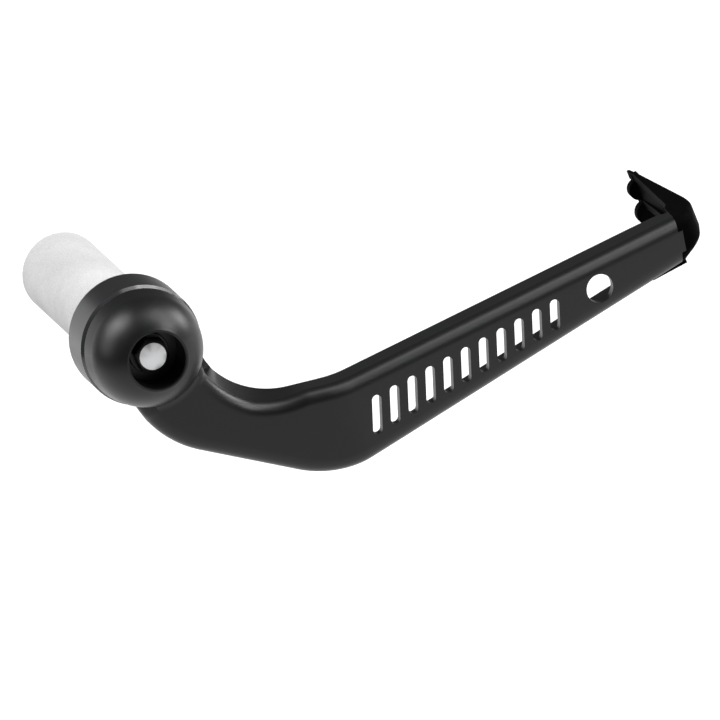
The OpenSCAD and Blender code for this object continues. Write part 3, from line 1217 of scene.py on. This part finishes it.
    def _slot_outline(self, x: float, z: float, height: float) -> list[Pair]:
        """Gives a slanted slot with round ends.

        Args:
            x: forward place of its middle.
            z: height of its middle.
            height: its whole height before it is slanted.

        Returns:
            The outline, on X and Z.
        """
        half, steps = (height - self.slot_w) / 2, self.slot_steps
        turn = Matrix.Rotation(-math.radians(self.slot_slant), 2)
        points = []
        for middle, start in ((half, 0), (-half, 180)):
            for k in range(steps + 1):
                round_end = polar(self.slot_w / 2, start + 180 * k / steps)
                points.append(turn @ (Vector((0, middle)) + round_end))
        return [(x + p.x, z + p.y) for p in points]

    def cutters(self) -> list[Piece]:
        """Makes the cutters for the slots and the round hole.

        Returns:
            The cutters.
        """
        tools, half = [], self.cutter_half
        first, last = self.slot_span
        for k in range(self.slot_count):
            share = k / (self.slot_count - 1)
            x = first + (last - first) * share
            z = self.blade.mid_z(x) - self.slot_drop
            outline = self._slot_outline(x, z, self.slot_h - self.slot_taper * share)
            tools.append(prism(f"slot_{k}", outline, half, -half))
        middle = Vector((self.hole_x, self.blade.mid_z(self.hole_x) - self.slot_drop / 2))
        ring = ngon(middle, self.hole_d / 2, SMALL_TURN)
        tools.append(prism("round_hole", ring, half, -half))
        return tools

    def build(self) -> None:
        """Joins hub, channel and ribs, makes the cut-outs and dresses the moulding."""
        b = self.blade
        arm = self.channel()
        for rib in self.ribs():
            work(arm, rib, Cut.JOIN)
        work(arm, self.root(), Cut.JOIN)
        for tool in self.cutters():
            work(arm, tool, Cut.REMOVE)
        far = b.reach + self.tip_room
        past = [*b.joint_line(0), (far, -BEYOND), (far, 0)]
        work(arm, prism("past_joint", past, BEYOND, -BEYOND), Cut.REMOVE)
        work(arm, self.hub(), Cut.JOIN)
        close_up(arm)
        dress(arm, "guard_arm", MOULDED_NYLON)


@dataclass
class EndTip:
    """The separate hooked tip, with the plug and tongue that hold it.

    The lobes at its free end are each a place forward of the tip's end, a height over an
    edge and a radius. The lead is how far the shell starts short of the joint, where it
    is cut off.
    """

    blade: Blade
    bend_r: float = 9.0
    hook_len: float = 33.6
    hook_lean: float = 7.0
    wall: float = 2.2
    gap: float = 0.15
    lead: float = 2.0
    corner_off: float = 4.3
    bulge: Pair = (6.4, 9.4)
    end_lean: float = 9.0
    end_len: float = 4.8
    end_r: float = 12.0
    edge_r: float = 0.6
    inner_in: float = 1.2
    inner_rise: float = 3.5
    inner_lap: float = 0.3
    round_share: float = 0.8
    wall_share: float = 0.7
    inner_clear: float = 1.0
    climb: float = 0.5
    climb_lead: float = 1.0
    bend_share: float = 0.35
    steps: int = 88
    plug_len: float = 13.0
    plug_short: float = 0.3
    fit: float = 0.2
    tongue_len: float = 10.5
    tongue_t: float = 0.8
    tongue_stop: float = 0.9
    tongue_thin: float = 0.15
    tongue_in: float = 0.8
    side_half: float = 50.0
    shell_back: float = 30.0
    lobe_t: float = 2.5
    lobe_drop: float = 1.0
    lobe_sides: int = 64
    lobe_span: Pair = (-0.8, 1.1)
    top_lobe: Triple = (-0.2, -5.0, 2.5)
    low_lobe: Triple = (-0.1, -0.2, 3.0)

    def __post_init__(self) -> None:
        """Lays out the tip's outer line in plan."""
        b = self.blade
        corner_x = b.reach + self.corner_off
        shoulder = Vector((b.reach, b.face_at(b.reach))) + Vector(self.bulge)
        lean, end = math.radians(self.hook_lean), math.radians(self.end_lean)
        self.hook_end = shoulder + Vector((-math.sin(lean), math.cos(lean))) * self.hook_len
        self.tip_end = self.hook_end + Vector((-math.sin(end), math.cos(end))) * self.end_len
        self.line = BentLine(
            [
                (b.reach - self.lead, b.face_at(b.reach - self.lead), 0),
                (corner_x, b.face_at(corner_x), self.bend_r / 2),
                (*shoulder, self.bend_r),
                (*self.hook_end, self.end_r),
                (*self.tip_end, 0),
            ]
        )
        self.inner_x = self.hook_end.x - self.inner_in
        back = b.face_at(b.reach) + b.flange_deep - b.cut
        self.inner_from = Vector((b.reach - self.inner_lap, back))
        self.top, self.low = b.top_z(b.reach), b.low_z(b.reach)

    def outer_at(self, k: float) -> Vector:
        """Returns a point of the outer line, with k from 0 to steps."""
        return self.line.at(self.line.length * k / self.steps)

    def inner_at(self, k: int) -> Vector:
        """Finds the matching point of the flanges' inner edge.

        Args:
            k: number of the ring.

        Returns:
            The point, in plan.
        """
        slope = math.tan(math.radians(self.blade.lean))
        start = self.inner_from - self.lead * Vector((1, slope))
        o = self.outer_at(max(k, self.bend_share * self.steps))
        deep = max(self.inner_from.y + self.inner_rise, o.y)
        turned = Vector((min(self.inner_x, o.x - self.inner_clear), deep))
        return start.lerp(turned, min(1.0, k / self.steps / self.bend_share))

    def low_at(self, k: int) -> float:
        """Returns the height of the lower edge."""
        past = self.outer_at(k).x - self.blade.reach + self.climb_lead
        return self.low + self.climb * max(0.0, past)

    def _ring(self, k: int) -> Ring:
        """Gives one ring round the open section.

        Args:
            k: number of the ring.

        Returns:
            The ring, in metres.
        """
        o, i, low = self.outer_at(k), self.inner_at(k), self.low_at(k)
        deep = (i - o).length
        m = (i - o) / deep
        share = min(1.0, k / self.steps / self.bend_share)
        radius = self.blade.edge_r + (self.edge_r - self.blade.edge_r) * share
        rounds = quarter(min(radius, deep * self.round_share), self.blade.edge_steps)
        a = o + m * min(self.wall, deep * self.wall_share)
        hi, lo = self.top - self.wall, low + self.wall

        def at(p: Vector, z: float) -> Vector:
            """Returns a plan point at a height."""
            return world(p.x, -p.y, z)

        ring = [at(i, self.top)]
        ring += [at(o + m * d, self.top - c) for c, d in rounds]
        ring += [at(o + m * d, low + c) for c, d in reversed(rounds)]
        ring += [at(i, low), at(i, lo), at(a, lo), at(a, hi), at(i, hi)]
        return ring

    def _side(self, x0: float, x1: float, z: list[float], name: str) -> Piece:
        """Makes a wedge in side view, from the two heights at x0 and the two at x1."""
        corners = [(x0, z[0]), (x1, z[2]), (x1, z[3]), (x0, z[1])]
        return prism(name, corners, self.side_half, -self.side_half)

    def _slab(self, x0: float, x1: float, near: float, far: float) -> Piece:
        """Makes a slab that follows the leaning face, from one depth to another.

        Args:
            x0: first forward place.
            x1: second forward place.
            near: the lesser depth under the face.
            far: the greater depth.

        Returns:
            The slab.
        """
        face = self.blade.face_at
        corners = [(x0, face(x0) + near), (x1, face(x1) + near)]
        corners += [(x1, face(x1) + far), (x0, face(x0) + far)]
        return sweep("slab", [[world(x, -y, z) for x, y in corners] for z in (-BEYOND, 0)])

    def plug(self) -> Piece:
        """Makes the plug that fills the end of the channel.

        Returns:
            The plug.
        """
        b = self.blade
        x0, x1 = b.reach - self.plug_len, b.reach + PAST
        gap = b.wall + self.fit
        slab = self._slab(x0, x1, gap, b.flange_deep - b.cut - self.plug_short)
        heights = [b.low_z(x0) + gap, b.top_z(x0) - gap, b.low_z(x1) + gap, b.top_z(x1) - gap]
        return work(slab, self._side(x0, x1, heights, "plug_side"), Cut.KEEP_COMMON)

    def tongue(self) -> Piece:
        """Makes the thin tongue that runs on under the blade and tapers away.

        Returns:
            The tongue.
        """
        b, t = self.blade, self.tongue_t
        x0, x1 = b.reach - self.tongue_len, b.reach - self.tongue_stop
        slab = self._slab(x0, x1, b.edge_r * self.tongue_in, b.flange_deep - b.cut)
        thin = self.tongue_thin * t
        heights = [b.low_z(x0) - thin, b.low_z(x0), b.low_z(x1) - t, b.low_z(x1)]
        side = self._side(x0, x1, heights, "tongue_side")
        lug = b.joint_x(self.low) + 2 * self.gap
        root = self._side(lug, x1 + LAP, [self.low - t, self.low + t] * 2, "tongue_root")
        work(side, root, Cut.JOIN)
        return work(slab, side, Cut.KEEP_COMMON)

    def lobes(self) -> Piece:
        """Makes the thick rounded free end.

        Returns:
            The two lobes, joined.
        """
        x, y = self.tip_end
        near, far = -y, -y + self.lobe_t
        x0, x1 = (x + along for along in self.lobe_span)
        low, high = self.low, self.top - self.lobe_drop
        body = prism("lobes", [(x0, low), (x1, low), (x1, high), (x0, high)], near, far)
        for edge, (along, up, r) in ((self.top, self.top_lobe), (self.low, self.low_lobe)):
            ring = ngon(Vector((x + along, edge + up)), r, self.lobe_sides)
            work(body, prism("lobe", ring, near, far), Cut.JOIN)
        return body

    def build(self) -> None:
        """Joins hook, lobes, plug and tongue, and dresses the tip."""
        b = self.blade
        tip = sweep("hooked_tip", [self._ring(k) for k in range(self.steps + 1)])
        back = b.reach - self.shell_back
        short = [*b.joint_line(self.gap), (back, -BEYOND), (back, 0)]
        work(tip, prism("short_of_joint", short, BEYOND, -BEYOND), Cut.REMOVE)
        for part in (self.lobes(), self.plug(), self.tongue()):
            work(tip, part, Cut.JOIN)
        close_up(tip)
        # The tip is drawn near black with almost no shine.
        dress(tip, "end_tip", NEAR_BLACK_NYLON)


# Studio


def hang(name: str, data: bpy.types.Camera | bpy.types.Light) -> Piece:
    """Puts a new camera or lamp in the scene.

    Args:
        name: name of the new object.
        data: the camera or lamp.

    Returns:
        The new object.
    """
    made = bpy.data.objects.new(name, data)
    bpy.context.scene.collection.objects.link(made)
    return made


@dataclass(frozen=True)
class SoftBox:
    """One round soft lamp, aimed at the guard from a direction in the frame."""

    name: str
    way: Triple
    watts: float
    size: float = 0.45
    distance: float = 0.9


@dataclass
class Studio:
    """Camera, lamps, floor and background."""

    px_per_mm: float = 4.15
    frame_px: float = 720.0
    origin_px: Pair = (128.0, 333.2)
    distance_mm: float = 3000.0
    clip: Pair = (0.5, 40.0)
    right: Triple = (0.8996, -0.2626, -0.3491)
    up: Triple = (0.4119, 0.2435, 0.8781)
    floor_x: float = 50.0
    floor_z: float = -160.0
    floor_size: float = 6000.0
    floor_paint: str = "#a8a8a8"
    floor_glow: float = 0.76
    world_grey: str = "#656565"
    sweep_edge: Pair = (0.93, 0.99)
    lamps: tuple[SoftBox, ...] = (
        SoftBox("low_left", (-0.85, 0.1, 0.45), 1.3),
        SoftBox("key_left", (-0.6, 0.13, 0.79), 3.5),
        SoftBox("key_top", (-0.35, 0.05, 0.93), 3.7),
        SoftBox("top_right", (0.3, -0.2, 0.93), 0.9),
        SoftBox("key_right", (0.6, -0.15, 0.79), 2.4),
        SoftBox("high_right", (0.85, 0.0, 0.53), 1.5),
        SoftBox("rim_right", (0.95, 0.15, 0.25), 4.2, 0.4),
        SoftBox("rim_front", (0.75, -0.45, 0.5), 3.6, 0.4),
        SoftBox("back_left", (-0.5, 0.85, 0.15), 1.2, 0.6),
    )

    def camera(self) -> None:
        """Sets the camera by the way the object's axes lie in the picture."""
        right, up = Vector(self.right).normalized(), Vector(self.up).normalized()
        back = right.cross(up).normalized()
        up = back.cross(right)
        half = self.frame_px / 2
        across = (half - self.origin_px[0]) / self.px_per_mm
        above = (self.origin_px[1] - half) / self.px_per_mm
        target = (right * across + up * above) * MM
        data = bpy.data.cameras.new("camera")
        data.type = "ORTHO"
        data.ortho_scale = self.frame_px / self.px_per_mm * MM
        data.clip_start, data.clip_end = self.clip
        cam = hang("camera", data)
        turn = Matrix((right, up, back)).transposed().to_4x4()
        cam.matrix_world = Matrix.Translation(target + back * self.distance_mm * MM) @ turn
        bpy.context.scene.camera = cam

    def lights(self) -> None:
        """Hangs the soft lamps round the middle of the guard."""
        low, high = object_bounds()
        middle = (low + high) / 2
        for lamp in self.lamps:
            way = Vector(lamp.way).normalized()
            data = bpy.data.lights.new(lamp.name, "AREA")
            data.shape, data.size, data.energy = "DISK", lamp.size, lamp.watts
            made = hang(lamp.name, data)
            made.location = middle + way * lamp.distance
            made.rotation_mode = "QUATERNION"
            made.rotation_quaternion = way.to_track_quat("Z", "Y")

    def backdrop(self) -> None:
        """Hangs a white backdrop behind the guard; the rest of the room is grey."""
        made = bpy.data.worlds.new("studio")
        tree = blank_tree(made)
        away = Vector(self.up).cross(Vector(self.right)).normalized()
        way = add_node(tree, "TexCoord").outputs["Generated"]
        facing = {"operation": "DOT_PRODUCT", 0: way, 1: away}
        sweep_there = {
            "Value": add_node(tree, "VectorMath", facing).outputs["Value"],
            "From Min": self.sweep_edge[0],
            "From Max": self.sweep_edge[1],
        }
        share = add_node(tree, "MapRange", sweep_there).outputs[0]
        seen = sees_backdrop(tree, share)
        mix = {"data_type": "RGBA", 0: seen, 6: linear(self.world_grey), 7: WHITE}
        colour = add_node(tree, "Mix", mix).outputs[2]
        sky = add_node(tree, "Background", {"Strength": 1.0, "Color": colour})
        add_node(tree, "OutputWorld", {"Surface": sky.outputs[0]})
        bpy.context.scene.world = made

    def floor(self) -> None:
        """Lays a pale floor that shows white and keeps the guard's shadow."""
        put_down()
        bpy.ops.mesh.primitive_grid_add(
            x_subdivisions=2, y_subdivisions=2, size=self.floor_size * MM,
            location=(self.floor_x * MM, 0, self.floor_z * MM),
        )
        floor = bpy.context.object
        floor.name = "floor"
        bpy.ops.object.transform_apply()
        made = bpy.data.materials.new("painted_board")
        tree = blank_tree(made)
        underside = add_node(tree, "NewGeometry").outputs["Backfacing"]
        paint = add_node(tree, "BsdfDiffuse", {"Color": linear(self.floor_paint)})
        glow = {"Color": WHITE, "Strength": self.floor_glow}
        light = add_node(tree, "Emission", glow).outputs[0]
        lit = add_node(tree, "AddShader", {0: paint.outputs[0], 1: light})
        above = {0: sees_backdrop(tree), 1: paint.outputs[0], 2: lit.outputs[0]}
        clear = add_node(tree, "BsdfTransparent").outputs[0]
        board = {0: underside, 1: add_node(tree, "MixShader", above).outputs[0], 2: clear}
        both = add_node(tree, "MixShader", board).outputs[0]
        add_node(tree, "OutputMaterial", {"Surface": both})
        floor.data.materials.append(made)
        floor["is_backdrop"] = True

    def build(self) -> None:
        """Sets up the whole studio."""
        bpy.context.scene.view_settings.view_transform = "Standard"
        self.lights()
        self.backdrop()
        self.floor()
        self.camera()


def main() -> None:
    """Builds the guard and its studio."""
    logging.basicConfig(level=logging.INFO, format="%(name)s: %(message)s")
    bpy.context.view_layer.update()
    blade = Blade()
    BarFixing().build()
    ClampBolt().build()
    GuardArm(blade).build()
    EndTip(blade).build()
    Studio().build()


if __name__ == "__main__":
    main()
